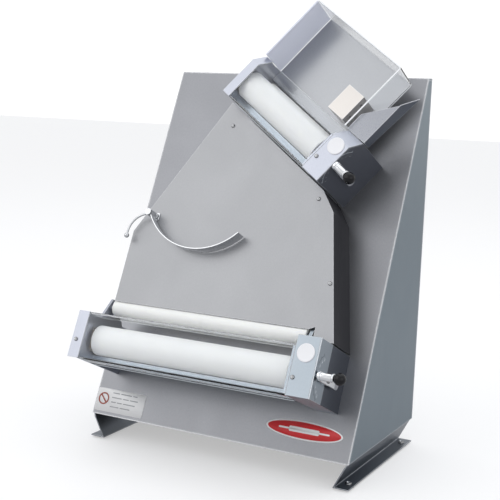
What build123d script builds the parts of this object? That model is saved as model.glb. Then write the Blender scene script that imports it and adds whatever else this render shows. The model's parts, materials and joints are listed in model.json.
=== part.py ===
"""Two-stage bench dough sheeter.

A wedge-shaped stainless casing stands on two bent foot rails. A small roller unit with a dough tray
sits crosswise near the top, a wide roller unit sits level near the bottom, and a raised chute plate
with a rocker arm leads the dough from one to the other.

Frame: +Z up, +X to the right seen from the front, front towards -Y. The origin is on the floor under
the middle of the machine.
"""

import os
from math import atan2, cos, degrees, hypot, pi, radians, sin

from build123d import *

os.makedirs("parts", exist_ok=True)

# ---------------------------------------------------------------- driving dimensions, mm
# casing
casing_width = 480.0
casing_height = 592.4
casing_depth = 289.8
casing_top_depth = 18.0
casing_sheet = 2.0
foot_height = 44.0
gland_reach = 16.0
gland_radius = 8.0
gland_bore_radius = 3.6
gland_nut = 5.0
gland_tail = 8.0
gland_rise = 60.0
belt_slot_room = 3.0
switch_y = 170.0
switch_rise = 150.0
switch_width = 24.0
switch_height = 34.0
switch_wall = 2.5
switch_stand = 7.0
switch_floor = 1.5
switch_pivot_stand = 5.0
switch_pin_radius = 1.0
switch_pin_clearance = 0.15
switch_pin_recess = 0.5

# foot rails
foot_inset = 22.0
foot_flange = 24.0
foot_sheet = 2.0
foot_lap = 22.0
pad_thickness = 3.0
pad_radius = 9.0
pad_end_distance = 26.0
bolt_head_radius = 5.5
bolt_head_height = 3.0

# roller units; in a unit u runs along the rollers and is 0 at the right end face,
# v runs up the casing and w stands out from it
lower_unit_x = 206.0
lower_unit_v = 73.0
lower_span = 419.0
upper_unit_x = 136.8
upper_unit_v = 412.7
upper_unit_turn = 35.5
upper_span = 256.0
upper_chamfer_v = 21.0
upper_chamfer_w = 23.0
cover_sheet = 2.0
plate_thickness = 6.0
left_plate_thickness = 4.0
running_clearance = 0.05
free_clearance = 0.3

# rollers, and the room that a unit leaves round them
roller_radius = 25.0
roller_gap = 2.4
rear_roller_lift = 6.5
rear_roller_standoff = 10.1
roller_room_below = 15.0
roller_room_above = 21.9
lower_room_in_front = 16.0
upper_room_in_front = 8.0
roller_end_gap = 5.0
shaft_radius = 8.0
shaft_end_radius = 6.0
bearing_outer_radius = 15.0
block_collar = 2.0
block_lip = 4.0

# gap adjustment
gap_travel = 2.0
lever_swing = 60.0
eccentric_ring_width = 9.0
eccentric_ring_wall = 4.2
lever_hub_radius = 8.0
lever_width = 15.0
lever_thickness = 4.0
lever_standoff = 3.0
lever_front_reach = 32.0
lever_rear_reach = 36.0
sleeve_radius = 6.2
sleeve_length = 21.0
plunger_radius = 2.5
knob_radius = 9.5
dial_sheet = 1.5
lower_dial_depth = 46.0
dial_inset = 0.4
dimple_radius = 2.2
dimple_depth = 0.6
dimple_count = 9

# gears with long teeth, so that they stay in mesh over the whole gap
gear_teeth = 14
gear_addendum = 1.6
gear_dedendum = 4.0
gear_width = 11.0
gear_side_gap = 1.0
gear_pulley_gap = 4.0

# belt drive inside the casing
pulley_radius = 12.0
pulley_width = 9.0
pulley_flange = 0.8
pulley_ring_gap = 1.0
belt_thickness = 2.0
belt_side_gap = 0.2
motor_depth = 38.0
motor_radius = 26.0
motor_length = 108.0
motor_shaft_radius = 5.0
motor_pulley_gap = 4.0
gearbox_share = 0.4
bracket_strap = 14.0
bracket_sheet = 2.0

# guards and trim
guard_sheet = 2.5
guard_bottom_depth = 32.0
lower_guard_top = 34.0
flange_width = 17.0
lower_guard_height = 79.0
flange_sheet = 2.0
plug_radius = 14.5
plug_height = 1.6
lower_plug_v = 67.0
upper_plug_v = 60.0
scraper_thickness = 1.5
scraper_depth = 11.0
scraper_gap = 1.0
scraper_lip_v = 1.0
screw_head_radius = 3.6
screw_head_height = 2.2
guard_screw_v = 28.0

# chute plate
chute_w = 76.0
chute_sheet = 1.5
chute_gap = 3.0
chute_roller_gap = 1.0
chute_left_x = -203.0
chute_left_shoulder_v = 312.0
chute_right_shoulder_x = 157.0
chute_right_shoulder_v = 378.0

# guide roller at the foot of the chute, carried by ears on the end plates
guide_radius = 14.0
guide_rise = 9.6
guide_drop = 12.5
guide_pin_radius = 4.0
ear_rise = 12.5

# rocker arm that turns the dough
rocker_x = -166.0
rocker_v = 341.0
rocker_height = 22.0
rocker_strip = 1.6
rocker_pin_radius = 3.0
rocker_hub_radius = 6.0
rocker_clearance = 1.0
rocker_plate = 2.0
rocker_wire_radius = 2.0
rocker_ball_radius = 4.4

# dough tray on the upper unit
tray_rise = 128.6
tray_back_standoff = 10.0
tray_front_setback = 14.0
tray_wall = 3.0
tray_sheet = 1.5
tray_gap = 1.0
block_width = 37.0
block_length = 50.0
block_height = 45.0
block_hole_inset = 12.0
block_hole_radius = 2.2
channel_w = 97.0
channel_rise = 83.6
channel_drop = 51.0
channel_low_depth = 20.0
channel_high_depth = 30.0
channel_back_rise = 31.0

# ---------------------------------------------------------------- frames
tilt = atan2(casing_depth - casing_top_depth, casing_height)
panel_length = hypot(casing_depth - casing_top_depth, casing_height)

centre_distance = 2 * roller_radius + roller_gap
front_roller_v = roller_radius + roller_room_below
rear_roller_v = front_roller_v + rear_roller_lift
rear_roller_w = roller_radius + rear_roller_standoff
front_roller_w = rear_roller_w + (centre_distance**2 - rear_roller_lift**2) ** 0.5
gap_angle = degrees(atan2(front_roller_w - rear_roller_w, front_roller_v - rear_roller_v))
unit_height = rear_roller_v + roller_radius + roller_room_above
lower_depth = front_roller_w + roller_radius + lower_room_in_front
upper_depth = front_roller_w + roller_radius + upper_room_in_front

# what stands side by side under an end cover, from the outside in
ring_u = -lever_standoff - eccentric_ring_width
drive_u = ring_u - pulley_ring_gap - pulley_width / 2
gear_u = drive_u - pulley_width / 2 - gear_pulley_gap - gear_width
cover_width = gear_side_gap - gear_u
belt_width = pulley_width - 2 * (pulley_flange + belt_side_gap)
eccentricity = gap_travel / sin(radians(lever_swing))
lever_v = front_roller_v - eccentricity
eccentric_ring_radius = shaft_end_radius + eccentricity + eccentric_ring_wall

front_reach = lower_depth * cos(tilt) - lower_unit_v * sin(tilt)
front_edge_y = (front_reach - casing_depth - gland_reach) / 2
rear_y = front_edge_y + casing_depth

panel = Plane(
    origin=(0, front_edge_y, foot_height),
    x_dir=(1, 0, 0),
    z_dir=(0, -cos(tilt), sin(tilt)),
)


def on_panel(x, v, turn=0.0):
    """Plane on the casing's face with its origin at x, v, turned clockwise by turn degrees."""
    along = panel.x_dir * cos(radians(turn)) - panel.y_dir * sin(radians(turn))
    return Plane(origin=panel.from_local_coords((x, v, 0)), x_dir=along, z_dir=panel.z_dir)


def across(base, u):
    """Plane square to a unit's rollers at u: local x is v, local y is w, and it faces +u."""
    return Plane(origin=base.from_local_coords((u, 0, 0)), x_dir=base.y_dir, z_dir=base.x_dir)


def side_view(x):
    """Plane square to X: local x is Y measured back from the casing's front edge, local y is Z."""
    return Plane(origin=(x, front_edge_y, 0), x_dir=(0, 1, 0), z_dir=(1, 0, 0))


def folded(points, thickness):
    """Outline of a bent sheet with one face on the points and its thickness to their left."""
    line = [Vector(point) for point in points]
    normals = [(b - a).normalized().rotate(Axis.Z, 90) for a, b in zip(line, line[1:])]
    back = [line[0] + normals[0] * thickness]
    for corner, before, after in zip(line[1:-1], normals, normals[1:]):
        back.append(corner + (before + after) * (thickness / (1 + before.dot(after))))
    back.append(line[-1] + normals[-1] * thickness)
    with BuildSketch() as outline:
        with BuildLine():
            Polyline(*line, *reversed(back), close=True)
        make_face()
    return outline.sketch


def save(builder, label):
    builder.part.label = label
    export_step(builder.part, f"parts/{label}.step")


lower_base = on_panel(lower_unit_x, lower_unit_v)
upper_base = on_panel(upper_unit_x, upper_unit_v, upper_unit_turn)

# ---------------------------------------------------------------- casing
belt_slot_length = 2 * (pulley_radius + belt_thickness + belt_slot_room)
belt_slot_width = belt_width + 2 * belt_slot_room

# sloped front sheet, with a slot for each drive belt
with BuildPart() as front_panel:
    with BuildSketch(panel.offset(-casing_sheet)):
        with Locations((0, panel_length / 2)):
            Rectangle(casing_width, panel_length)
    extrude(amount=casing_sheet)
    for base in (lower_base, upper_base):
        with BuildSketch(base):
            with Locations((drive_u, rear_roller_v)):
                Rectangle(belt_slot_width, belt_slot_length)
        extrude(amount=-casing_sheet, mode=Mode.SUBTRACT)
save(front_panel, "front_panel")

front_line_y = casing_sheet / cos(tilt)
side_outline = [
    (front_line_y, foot_height),
    (casing_depth - casing_sheet, foot_height),
    (casing_depth - casing_sheet, foot_height + casing_height - casing_sheet),
    (
        front_line_y + (casing_height - casing_sheet) * (casing_depth - casing_top_depth) / casing_height,
        foot_height + casing_height - casing_sheet,
    ),
]

# wedge-shaped side sheets
for label, x in (
    ("left_side_panel", -casing_width / 2),
    ("right_side_panel", casing_width / 2 - casing_sheet),
):
    with BuildPart() as side_panel:
        with BuildSketch(side_view(x)):
            with BuildLine():
                Polyline(*side_outline, close=True)
            make_face()
        extrude(amount=casing_sheet)
    save(side_panel, label)

# removable back sheet, folded over the top; the cable gland sits in it
gland_x = -casing_width / 4
gland_z = foot_height + gland_rise
gland_plane = Plane(origin=(gland_x, rear_y, gland_z), x_dir=(-1, 0, 0), z_dir=(0, 1, 0))
top_lap_y = casing_depth - casing_top_depth + front_line_y + free_clearance
with BuildPart() as back_cover:
    with BuildSketch(side_view(-casing_width / 2)):
        with BuildLine():
            Polyline(
                (casing_depth, foot_height),
                (casing_depth, foot_height + casing_height),
                (top_lap_y, foot_height + casing_height),
                (top_lap_y, foot_height + casing_height - casing_sheet),
                (casing_depth - casing_sheet, foot_height + casing_height - casing_sheet),
                (casing_depth - casing_sheet, foot_height),
                close=True,
            )
        make_face()
    extrude(amount=casing_width)
    with BuildSketch(gland_plane):
        Circle(gland_radius)
    extrude(amount=-casing_sheet, mode=Mode.SUBTRACT)
save(back_cover, "back_cover")

# cable gland: hexagon collar outside, threaded body through the sheet, domed nut
with BuildPart() as cable_gland:
    with BuildSketch(gland_plane.offset(-gland_tail)):
        Circle(gland_radius)
    extrude(amount=gland_tail)
    with BuildSketch(gland_plane):
        RegularPolygon(gland_radius + 3.0, 6)
    extrude(amount=gland_nut)
    with BuildSketch(gland_plane.offset(gland_nut)):
        Circle(gland_radius + 1.0)
    extrude(amount=gland_reach - gland_nut, taper=14)
    with BuildSketch(gland_plane.offset(-gland_tail)):
        Circle(gland_bore_radius)
    extrude(amount=gland_tail + gland_reach, mode=Mode.SUBTRACT)
save(cable_gland, "cable_gland")

# power switch on the left side panel: a flush box with a button that rocks on two pins
switch_z = foot_height + switch_rise
switch_plane = Plane(
    origin=(-casing_width / 2, front_edge_y + switch_y, switch_z), x_dir=(0, -1, 0), z_dir=(-1, 0, 0)
)
pivot_plane = Plane(
    origin=switch_plane.from_local_coords((-switch_width / 2, 0, switch_pivot_stand)),
    x_dir=switch_plane.y_dir,
    z_dir=switch_plane.x_dir,
)
with BuildPart() as switch_frame:
    with BuildSketch(switch_plane):
        RectangleRounded(switch_width, switch_height, 3.0)
    extrude(amount=switch_stand)
    with BuildSketch(switch_plane.offset(switch_floor)):
        Rectangle(switch_width - 2 * switch_wall, switch_height - 2 * switch_wall)
    extrude(amount=switch_stand, mode=Mode.SUBTRACT)
    with BuildSketch(pivot_plane):
        Circle(switch_pin_radius + switch_pin_clearance)
    extrude(amount=switch_width, mode=Mode.SUBTRACT)
save(switch_frame, "switch_frame")

button_reach = switch_height / 2 - switch_wall - 1.5
button_room = switch_wall + 0.5
button_plane = Plane(
    origin=switch_plane.from_local_coords((-switch_width / 2 + button_room, 0, 0)),
    x_dir=switch_plane.y_dir,
    z_dir=switch_plane.x_dir,
)
with BuildPart() as power_switch:
    with BuildSketch(button_plane):
        with BuildLine():
            Polyline(
                (-button_reach, switch_pivot_stand + 1.5),
                (0.0, switch_pivot_stand + 4.0),
                (button_reach, switch_pivot_stand + 4.6),
                (button_reach, switch_pivot_stand + 1.2),
                (0.0, switch_pivot_stand - 1.6),
                (-button_reach, switch_pivot_stand - 0.4),
                close=True,
            )
        make_face()
    extrude(amount=switch_width - 2 * button_room)
    with BuildSketch(pivot_plane.offset(switch_pin_recess)):
        Circle(switch_pin_radius)
    extrude(amount=switch_width - 2 * switch_pin_recess)
save(power_switch, "power_switch")

# ---------------------------------------------------------------- foot rails
rail_top_x = casing_width / 2 - casing_sheet
rail_low_x = casing_width / 2 - foot_inset
rail_z = pad_thickness
for label, hand in (("left_foot_rail", -1), ("right_foot_rail", 1)):
    with BuildPart() as foot_rail:
        with BuildSketch(Plane.XZ.offset(-front_edge_y)):
            add(
                folded(
                    [
                        (hand * rail_top_x, foot_height + foot_lap),
                        (hand * rail_top_x, foot_height),
                        (hand * rail_low_x, rail_z + foot_sheet),
                        (hand * (rail_low_x + foot_flange), rail_z + foot_sheet),
                    ],
                    -hand * foot_sheet,
                )
            )
        extrude(amount=-(casing_depth - casing_sheet - free_clearance))
        split(bisect_by=panel.offset(-casing_sheet - free_clearance), keep=Keep.BOTTOM)
    save(foot_rail, label)

pad_places = [
    (hand * (rail_low_x + foot_flange / 2 + 1.0), front_edge_y + y)
    for hand in (-1, 1)
    for y in (pad_end_distance, casing_depth - pad_end_distance)
]
with BuildPart() as rubber_feet:
    with BuildSketch(Plane.XY):
        with Locations(*pad_places):
            Circle(pad_radius)
    extrude(amount=pad_thickness)
save(rubber_feet, "rubber_feet")

with BuildPart() as foot_bolts:
    with BuildSketch(Plane.XY.offset(rail_z + foot_sheet)):
        with Locations(*pad_places):
            Circle(bolt_head_radius)
    extrude(amount=bolt_head_height)
save(foot_bolts, "foot_bolts")

# ---------------------------------------------------------------- chute plate
unit_top_v = lower_unit_v + unit_height
guide_v = unit_height + guide_rise
guide_w = chute_w - guide_drop
ear_height = guide_v + ear_rise
chute_over_axis = chute_w - chute_sheet - guide_w
guide_half_width = (guide_radius**2 - chute_over_axis**2) ** 0.5
chute_bottom_v = lower_unit_v + guide_v + guide_half_width + chute_roller_gap
chute_web_low_v = lower_unit_v + guide_v + guide_radius + chute_gap
chute_right_x = lower_unit_x - 1.0
plate_left_x = lower_unit_x - cover_width - plate_thickness
plate_right_x = lower_unit_x - cover_width
chute_right_low_v = unit_top_v + chute_gap
chute_top_drop = chute_sheet + 1.0
upper_left_low = panel.to_local_coords(
    upper_base.from_local_coords((-upper_span, -chute_top_drop, 0))
)
upper_right_low = panel.to_local_coords(upper_base.from_local_coords((-4.0, -chute_top_drop, 0)))
chute_edge = [
    (chute_left_x, chute_bottom_v),
    (chute_left_x, chute_left_shoulder_v),
    (upper_left_low.X, upper_left_low.Y),
    (upper_right_low.X, upper_right_low.Y),
    (chute_right_shoulder_x, chute_right_shoulder_v),
    (chute_right_x, chute_right_low_v),
    (plate_right_x + 1.5, chute_right_low_v),
    (plate_right_x + 1.5, lower_unit_v + ear_height + 2.0),
    (plate_left_x - chute_gap, chute_bottom_v),
]
with BuildPart() as chute_plate:
    with BuildSketch(panel.offset(chute_w - chute_sheet)):
        with BuildLine():
            Polyline(*chute_edge, close=True)
        make_face()
    extrude(amount=chute_sheet)
save(chute_plate, "chute_plate")

# upright webs that hold the chute plate off the casing
with BuildPart() as chute_side_walls:
    with BuildSketch(panel):
        add(
            folded(
                [
                    (chute_right_x, chute_right_low_v),
                    (chute_right_shoulder_x, chute_right_shoulder_v),
                    (upper_right_low.X, upper_right_low.Y),
                ],
                chute_sheet,
            )
        )
        add(
            folded(
                [
                    (chute_left_x, chute_web_low_v),
                    (chute_left_x, chute_left_shoulder_v),
                ],
                -chute_sheet,
            )
        )
    extrude(amount=chute_w - chute_sheet)
save(chute_side_walls, "chute_side_walls")

# ---------------------------------------------------------------- rocker arm
rocker_base = on_panel(rocker_x, rocker_v)
# stud: a small plate screwed to the chute, with the pivot pin and its cap standing on it
pin_length = rocker_height + 2 * rocker_clearance
with BuildPart() as rocker_stud:
    with BuildSketch(rocker_base.offset(chute_w)):
        RectangleRounded(16.0, 13.0, 2.0)
    extrude(amount=rocker_plate)
    with BuildSketch(rocker_base.offset(chute_w + rocker_plate)):
        Circle(rocker_pin_radius)
    extrude(amount=pin_length)
    with BuildSketch(rocker_base.offset(chute_w + rocker_plate + pin_length)):
        Circle(rocker_pin_radius + 2.5)
    extrude(amount=2.0)
save(rocker_stud, "rocker_stud")

# arm: a curved strip on edge, with the hub that turns on the pin
arm_w = chute_w + rocker_plate + rocker_clearance
arm_start = (4.0, -4.0)
arm_belly = (92.0, -55.5)
arm_tip = (178.0, -20.0)
with BuildPart() as rocker_arm:
    with BuildSketch(rocker_base.offset(arm_w)):
        Circle(rocker_hub_radius)
    extrude(amount=rocker_height)
    with BuildSketch(rocker_base.offset(arm_w)):
        with BuildLine():
            offset(ThreePointArc(arm_start, arm_belly, arm_tip), amount=rocker_strip, side=Side.LEFT)
        make_face()
    extrude(amount=rocker_height)
    with BuildSketch(rocker_base.offset(arm_w)):
        Circle(rocker_pin_radius + running_clearance)
    extrude(amount=rocker_height, mode=Mode.SUBTRACT)
save(rocker_arm, "rocker_arm")

# tail: a bent wire with a ball on its end
tail_plane = rocker_base.offset(arm_w + rocker_height / 2)
tail_middle = (-30.0, -12.0)
tail_tip = (-39.0, -40.0)
with BuildPart() as rocker_tail:
    with BuildLine(tail_plane) as tail_line:
        ThreePointArc((-rocker_hub_radius, 0.0), tail_middle, tail_tip)
    with BuildSketch(Plane(origin=tail_line.line @ 0, z_dir=tail_line.line % 0)):
        Circle(rocker_wire_radius)
    sweep(path=tail_line.line)
    with Locations(tail_plane.location * Location((tail_tip[0], tail_tip[1] - rocker_ball_radius / 2, 0))):
        Sphere(rocker_ball_radius)
save(rocker_tail, "rocker_tail")


# ---------------------------------------------------------------- roller units
def end_outline(front, chamfer_v, chamfer_w, low=0.0, top=unit_height):
    """Side view of a unit, as v and w, with the front top corner cut off if it has a chamfer."""
    corners = [(low, 0), (top, 0)]
    if chamfer_v:
        corners += [(top, front - chamfer_w), (top - chamfer_v, front)]
    else:
        corners += [(top, front)]
    return corners + [(low, front)]


def gear_outline(first_tooth):
    """Gear with long straight-sided teeth, the first tooth at an angle in degrees."""
    root_radius = centre_distance / 2 - gear_dedendum
    tip_radius = centre_distance / 2 + gear_addendum
    pitch = pi * centre_distance / gear_teeth
    tooth_foot = 0.46 * pitch / 2
    tooth_top = 0.2 * pitch / 2
    with BuildSketch() as outline:
        Circle(root_radius)
        with PolarLocations(0, gear_teeth, start_angle=first_tooth):
            Polygon(
                (root_radius - 1.0, -tooth_foot),
                (tip_radius, -tooth_top),
                (tip_radius, tooth_top),
                (root_radius - 1.0, tooth_foot),
                align=None,
            )
    return outline.sketch


def roller_unit(unit, base, span, depth, chamfer_v, chamfer_w, dial_depth, plug_v, guide):
    """One pair of rollers with its end plates, covers, gap lever and guard.

    Returns the solids that both units share a node for.
    """
    left_u = -span
    left_inner_u = left_u + left_plate_thickness
    right_u = -cover_width - plate_thickness
    roller_u = left_inner_u + roller_end_gap
    roller_length = right_u - roller_end_gap - roller_u
    plate_depth = depth - cover_sheet - guard_sheet - free_clearance
    block_v = 2 * (bearing_outer_radius + 1.0)
    block_w = 2 * (bearing_outer_radius - 1.0)
    slot_w = block_w + 2 * (gap_travel + 0.5)
    shared = {}

    # end plates: rear bearing seat and a slot for the sliding front block; the right one stands
    # inside the bent guard, the left one outside it with a flange across the front
    guard_room = guard_sheet + free_clearance
    guard_top_w = depth - lower_guard_top
    guard_height = lower_guard_height if guide else unit_height
    for side, u, thick, reach, low, top in (
        ("left", left_u, left_plate_thickness, depth, 0.0, guard_height),
        ("right", right_u, plate_thickness, plate_depth, guard_room, guard_height - guard_room),
    ):
        with BuildPart() as end_plate:
            with BuildSketch(across(base, u)):
                with BuildLine():
                    Polyline(*end_outline(reach, chamfer_v, chamfer_w, low, top), close=True)
                make_face()
                if guide:
                    with BuildLine():
                        Polyline(
                            (top - 1.0, guide_w - 40.0),
                            (ear_height, guide_w - 10.0),
                            (ear_height, guide_w + 8.0),
                            (top - 1.0, guard_top_w - 2.0),
                            close=True,
                        )
                    make_face()
                    with Locations((guide_v, guide_w)):
                        Circle(guide_pin_radius, mode=Mode.SUBTRACT)
                with Locations((rear_roller_v, rear_roller_w)):
                    Circle(bearing_outer_radius, mode=Mode.SUBTRACT)
                with Locations((front_roller_v, front_roller_w)):
                    Rectangle(
                        slot_w, block_v + 2 * free_clearance, rotation=gap_angle, mode=Mode.SUBTRACT
                    )
            extrude(amount=thick)
            if side == "left":
                flange_line = [(low, reach), (top - chamfer_v, reach)]
                if chamfer_v:
                    flange_line.append((top, reach - chamfer_w))
                with BuildSketch(across(base, u - flange_width if guide else u)):
                    add(folded(flange_line, -flange_sheet))
                extrude(amount=flange_width)
        save(end_plate, f"{unit}_{side}_plate")

    # ball bearings of the fixed rear roller
    with BuildPart() as bearings:
        for u, thick in ((left_u, left_plate_thickness), (right_u, plate_thickness)):
            with BuildSketch(across(base, u)):
                with Locations((rear_roller_v, rear_roller_w)):
                    Circle(bearing_outer_radius)
                    Circle(shaft_radius + running_clearance, mode=Mode.SUBTRACT)
            extrude(amount=thick)
    shared["rear_bearings"] = bearings.part

    # bronze blocks that carry the front roller and slide in the end plates
    with BuildPart() as carriage:
        for u, thick, collar_u in (
            (left_u, left_plate_thickness, left_inner_u + free_clearance),
            (right_u, plate_thickness, right_u - free_clearance - block_collar),
        ):
            body_low = min(u, collar_u)
            body_high = max(u + thick, collar_u + block_collar)
            for low, high, lip in (
                (body_low, body_high, 0.0),
                (collar_u, collar_u + block_collar, block_lip),
            ):
                with BuildSketch(across(base, low)):
                    with Locations((front_roller_v, front_roller_w)):
                        Rectangle(block_w, block_v + 2 * lip, rotation=gap_angle)
                extrude(amount=high - low)
            with BuildSketch(across(base, body_low)):
                with Locations((front_roller_v, front_roller_w)):
                    Circle(shaft_radius + running_clearance)
            extrude(amount=body_high - body_low, mode=Mode.SUBTRACT)
    save(carriage, f"{unit}_gap_blocks")

    # rollers: polymer sleeves on steel shafts
    for place, v, w, shaft_end in (
        ("front", front_roller_v, front_roller_w, ring_u + eccentric_ring_width * 0.6),
        ("rear", rear_roller_v, rear_roller_w, drive_u + pulley_width / 2),
    ):
        with BuildPart() as roller:
            with BuildSketch(across(base, roller_u)):
                with Locations((v, w)):
                    Circle(roller_radius)
                    Circle(shaft_radius, mode=Mode.SUBTRACT)
            extrude(amount=roller_length)
        save(roller, f"{unit}_{place}_roller")
        with BuildPart() as shaft:
            with BuildSketch(across(base, left_u)):
                with Locations((v, w)):
                    Circle(shaft_radius)
            extrude(amount=gear_u + gear_width - left_u)
            with BuildSketch(across(base, gear_u + gear_width)):
                with Locations((v, w)):
                    Circle(shaft_end_radius)
            extrude(amount=shaft_end - gear_u - gear_width)
        save(shaft, f"{unit}_{place}_shaft")

    # gears that turn the two rollers against each other
    half_pitch = 180 / gear_teeth
    for place, v, w, first_tooth in (
        ("front", front_roller_v, front_roller_w, gap_angle + 180 + half_pitch),
        ("rear", rear_roller_v, rear_roller_w, gap_angle),
    ):
        with BuildPart() as gear:
            with BuildSketch(across(base, gear_u)):
                with Locations((v, w)):
                    add(gear_outline(first_tooth))
                    Circle(shaft_radius, mode=Mode.SUBTRACT)
            extrude(amount=gear_width)
        save(gear, f"{unit}_{place}_gear")

    # toothed pulleys on the rear shaft and on the motor's shaft, and the belt round them
    motor_u = drive_u - pulley_width / 2 - motor_pulley_gap
    belt_plane = across(base, drive_u - pulley_width / 2)
    for label, w, bore in (
        (f"{unit}_roller_pulley", rear_roller_w, shaft_end_radius),
        (f"{unit}_motor_pulley", -motor_depth, motor_shaft_radius),
    ):
        with BuildPart() as pulley:
            with BuildSketch(belt_plane):
                with Locations((rear_roller_v, w)):
                    Circle(pulley_radius)
                    Circle(bore, mode=Mode.SUBTRACT)
            extrude(amount=pulley_width)
            for u in (0.0, pulley_width - pulley_flange):
                with BuildSketch(belt_plane.offset(u)):
                    with Locations((rear_roller_v, w)):
                        Circle(pulley_radius + belt_thickness + pulley_flange)
                        Circle(pulley_radius - 1.0, mode=Mode.SUBTRACT)
                extrude(amount=pulley_flange)
            if w < 0:
                with BuildSketch(across(base, motor_u + free_clearance)):
                    with Locations((rear_roller_v, w)):
                        Circle(motor_shaft_radius)
                extrude(amount=pulley_width + motor_pulley_gap - free_clearance)
        save(pulley, label)
    belt_inner = pulley_radius + free_clearance
    belt_run = rear_roller_w + motor_depth
    with BuildPart() as belt:
        with BuildSketch(belt_plane.offset((pulley_width - belt_width) / 2)):
            with Locations((rear_roller_v, (rear_roller_w - motor_depth) / 2)):
                SlotCenterToCenter(belt_run, 2 * (belt_inner + belt_thickness), rotation=90)
                SlotCenterToCenter(belt_run, 2 * belt_inner, rotation=90, mode=Mode.SUBTRACT)
        extrude(amount=belt_width)
    shared["drive_belts"] = belt.part

    # gearmotor, ribbed behind its gearbox, and the two straps that hold it to the casing sheet
    gearbox_length = motor_length * gearbox_share
    motor_end_u = motor_u - motor_length
    with BuildPart() as motor:
        for u, length, radius in (
            (motor_end_u, motor_length - gearbox_length, motor_radius - 2.0),
            (motor_u - gearbox_length, gearbox_length, motor_radius),
        ):
            with BuildSketch(across(base, u)):
                with Locations((rear_roller_v, -motor_depth)):
                    Circle(radius)
            extrude(amount=length)
        with BuildSketch(across(base, motor_end_u + 4.0)):
            with Locations((rear_roller_v, -motor_depth)):
                with PolarLocations(motor_radius - 1.8, 24):
                    Rectangle(3.0, 1.6)
        extrude(amount=motor_length - gearbox_length - 12.0)
    shared["motors"] = motor.part
    strap_gap = (gearbox_length - 2 * bracket_strap) / 3
    with BuildPart() as bracket:
        for strap_u in (
            motor_u - strap_gap - bracket_strap,
            motor_u - 2 * (strap_gap + bracket_strap),
        ):
            with BuildSketch(across(base, strap_u)):
                with Locations((rear_roller_v, -motor_depth)):
                    Circle(motor_radius + bracket_sheet)
                with Locations((rear_roller_v, -(motor_depth + casing_sheet) / 2)):
                    Rectangle(2 * (motor_radius + bracket_sheet), motor_depth - casing_sheet)
                with Locations((rear_roller_v, -casing_sheet - bracket_sheet / 2)):
                    Rectangle(2 * motor_radius + bracket_strap + 10.0, bracket_sheet)
                with Locations((rear_roller_v, -motor_depth)):
                    Circle(motor_radius, mode=Mode.SUBTRACT)
            extrude(amount=bracket_strap)
    shared["motor_brackets"] = bracket.part

    # folded end cover over the gears and the belt
    with BuildPart() as end_cover:
        with BuildSketch(across(base, -cover_width)):
            with BuildLine():
                Polyline(*end_outline(depth, chamfer_v, chamfer_w), close=True)
            make_face()
        extrude(amount=cover_width)
        with BuildSketch(across(base, -cover_width)):
            with BuildLine():
                Polyline(
                    *end_outline(
                        depth - cover_sheet, chamfer_v, chamfer_w, cover_sheet, unit_height - cover_sheet
                    ),
                    close=True,
                )
            make_face()
        extrude(amount=cover_width - cover_sheet, mode=Mode.SUBTRACT)
        with BuildSketch(across(base, -cover_sheet)):
            with Locations((lever_v, front_roller_w)):
                Circle(lever_hub_radius + running_clearance)
        extrude(amount=cover_sheet, mode=Mode.SUBTRACT)
    save(end_cover, f"{unit}_end_cover")

    # dial plate with the detent dimples of the gap lever
    detent_angles = [
        90 + lever_swing * (2 * i / (dimple_count - 1) - 1) for i in range(dimple_count)
    ]
    dimple_limit_w = depth - dial_depth + 2 * dimple_radius
    with BuildPart() as dial:
        with BuildSketch(across(base, 0)):
            with BuildLine():
                Polyline(
                    *end_outline(
                        depth - dial_inset, chamfer_v, chamfer_w, dial_inset, unit_height - dial_inset
                    ),
                    close=True,
                )
            make_face()
            with Locations((unit_height / 2, (depth - dial_depth) / 2)):
                Rectangle(unit_height, depth - dial_depth, mode=Mode.SUBTRACT)
            with Locations((lever_v, front_roller_w)):
                Circle(lever_hub_radius + running_clearance, mode=Mode.SUBTRACT)
        extrude(amount=dial_sheet)
        with BuildSketch(across(base, dial_sheet)):
            with Locations(
                *[
                    (
                        lever_v + lever_front_reach * cos(radians(a)),
                        front_roller_w + lever_front_reach * sin(radians(a)),
                    )
                    for a in detent_angles
                    if front_roller_w + lever_front_reach * sin(radians(a)) > dimple_limit_w
                ]
            ):
                Circle(dimple_radius)
        extrude(amount=-dimple_depth, mode=Mode.SUBTRACT)
    shared["dial_plates"] = dial.part

    # gap lever: hub through the cover, eccentric ring inside, flat arm and sleeve outside
    arm_u = dial_sheet + lever_standoff
    with BuildPart() as lever:
        with BuildSketch(across(base, -lever_standoff)):
            with Locations((lever_v, front_roller_w)):
                Circle(lever_hub_radius)
        extrude(amount=lever_standoff + arm_u + lever_thickness)
        with BuildSketch(across(base, ring_u)):
            with Locations((lever_v, front_roller_w)):
                Circle(eccentric_ring_radius)
            with Locations((front_roller_v, front_roller_w)):
                Circle(shaft_end_radius + eccentricity, mode=Mode.SUBTRACT)
        extrude(amount=eccentric_ring_width)
        with BuildSketch(across(base, arm_u)):
            with Locations((lever_v, front_roller_w + (lever_front_reach - lever_rear_reach) / 2)):
                SlotOverall(
                    lever_front_reach + lever_rear_reach + lever_width, lever_width, rotation=90
                )
            with Locations((lever_v, front_roller_w + lever_front_reach)):
                Circle(plunger_radius + running_clearance, mode=Mode.SUBTRACT)
        extrude(amount=lever_thickness)
        chamfer(
            lever.faces().sort_by(Axis(base.origin, base.x_dir))[-1].outer_wire().edges(), length=0.8
        )
        with BuildSketch(across(base, arm_u + lever_thickness)):
            with Locations((lever_v, front_roller_w + lever_front_reach)):
                Circle(sleeve_radius)
                Circle(plunger_radius + running_clearance, mode=Mode.SUBTRACT)
        extrude(amount=sleeve_length)
    save(lever, f"{unit}_gap_lever")

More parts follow.
